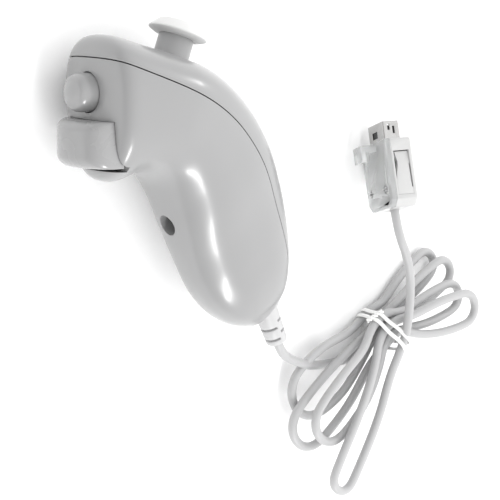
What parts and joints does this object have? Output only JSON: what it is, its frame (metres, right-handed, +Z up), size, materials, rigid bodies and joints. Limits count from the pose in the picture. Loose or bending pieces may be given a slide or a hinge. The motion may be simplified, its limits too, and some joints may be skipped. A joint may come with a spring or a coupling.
{
  "type": "one-handed motion game controller",
  "caption": "Light grey one-handed motion controller with a thumbstick, round button, trigger and a tied cord ending in a clear and white plug.",
  "frame": {"origin": "centre of the footprint of the hand piece, on the surface it lies on, leaving out the cord and plug", "axes": "+Z up from the surface: the controller lies on its right side. -X is where its button face looks, +Y is where the thumbstick points, so its left side is up."},
  "size_m": [0.1919, 0.1268, 0.0384],
  "materials": {
    "shell_plastic": "smooth light grey gloss moulding",
    "button_plastic": "smooth light grey gloss, polished edges",
    "stick_plastic": "near white satin cap",
    "stem_plastic": "mid grey satin",
    "dark_plastic": "black moulded plastic",
    "white_plastic": "white semi-gloss moulding",
    "clear_plastic": "clear polycarbonate moulding",
    "plated_steel": "bright nickel plate on sheet steel",
    "steel": "zinc plated screws and pins",
    "contact_brass": "plated spring contacts",
    "board": "green circuit board",
    "relief_rubber": "soft light grey moulding",
    "cord_jacket": "smooth light grey vinyl jacket",
    "wire_jacket": "thin dark inner sleeve",
    "tie_plastic": "white twist tie"
  },
  "bodies": {
    "case": {"top_shell": "shell_plastic", "bottom_shell": "shell_plastic", "trigger_pin": "steel", "joystick_housing": "plated_steel", "pitch_sensor": "dark_plastic", "roll_sensor": "dark_plastic", "main_board": "board", "main_chip": "dark_plastic", "motion_sensor": "dark_plastic", "cable_connector": "white_plastic", "board_screws": "steel", "switch_board": "board", "switch_board_screws": "steel", "contact_switches": "dark_plastic", "case_screws": "steel", "strain_relief": "relief_rubber", "cable_clamp": "white_plastic", "clamp_screws": "steel", "inner_wires": "wire_jacket", "cord_lead": "cord_jacket", "cord_hank": "cord_jacket", "cord_tail": "cord_jacket", "cord_tie": "tie_plastic", "plug_shell_clear": "clear_plastic", "plug_shell_white": "white_plastic", "plug_nose": "plated_steel", "plug_carrier": "dark_plastic", "plug_contacts": "contact_brass", "plug_board": "board", "plug_wires": "wire_jacket", "plug_screws": "steel"},
    "stick": {"stick_cap": "stick_plastic", "stick_stem": "stem_plastic", "stick_shaft": "steel"},
    "gimbal": {"stick_gimbal": "dark_plastic"},
    "upper_arm": {"stick_upper_arm": "dark_plastic"},
    "button": {"round_button": "button_plastic"},
    "trigger": {"trigger": "button_plastic"},
    "lever_upper": {"latch_lever_upper": "white_plastic"},
    "lever_lower": {"latch_lever_lower": "white_plastic"}
  },
  "joints": [
    {"name": "stick_pitch", "type": "hinge", "parent": "case", "child": "gimbal", "pos_m": [-0.02144, 0.02006, 0.0192], "axis": [0, 0, 1], "range_deg": [-15, 15], "stiffness_Nm_per_rad": 0.02},
    {"name": "stick_roll", "type": "hinge", "parent": "gimbal", "child": "stick", "pos_m": [-0.02144, 0.02006, 0.0192], "axis": [1, 0, 0], "range_deg": [-15, 15], "stiffness_Nm_per_rad": 0.02},
    {"name": "upper_arm_roll", "type": "hinge", "parent": "case", "child": "upper_arm", "pos_m": [-0.02144, 0.02006, 0.0192], "axis": [1, 0, 0], "range_deg": [-15.5, 15.5]},
    {"name": "button_press", "type": "slide", "parent": "case", "child": "button", "axis": [0.9397, 0.342, 0], "range_m": [0, 0.001], "stiffness_N_per_m": 300},
    {"name": "trigger_pull", "type": "hinge", "parent": "case", "child": "trigger", "pos_m": [-0.0368, 0.00687, 0.0192], "axis": [0, 0, 1], "range_deg": [0, 7], "stiffness_Nm_per_rad": 0.1},
    {"name": "lever_upper_squeeze", "type": "hinge", "parent": "case", "child": "lever_upper", "pos_m": [0.08028, 0.01944, 0.02362], "axis": [-0.8713, -0.3646, -0.3284], "range_deg": [0, 4], "stiffness_Nm_per_rad": 0.1},
    {"name": "lever_lower_squeeze", "type": "hinge", "parent": "case", "child": "lever_lower", "pos_m": [0.08739, 0.01676, 0.00775], "axis": [0.8713, 0.3646, 0.3284], "range_deg": [0, 4], "stiffness_Nm_per_rad": 0.1}
  ],
  "couplings": [
    {"joint": "upper_arm_roll", "follows": "stick_roll", "ratio": 1}
  ]
}
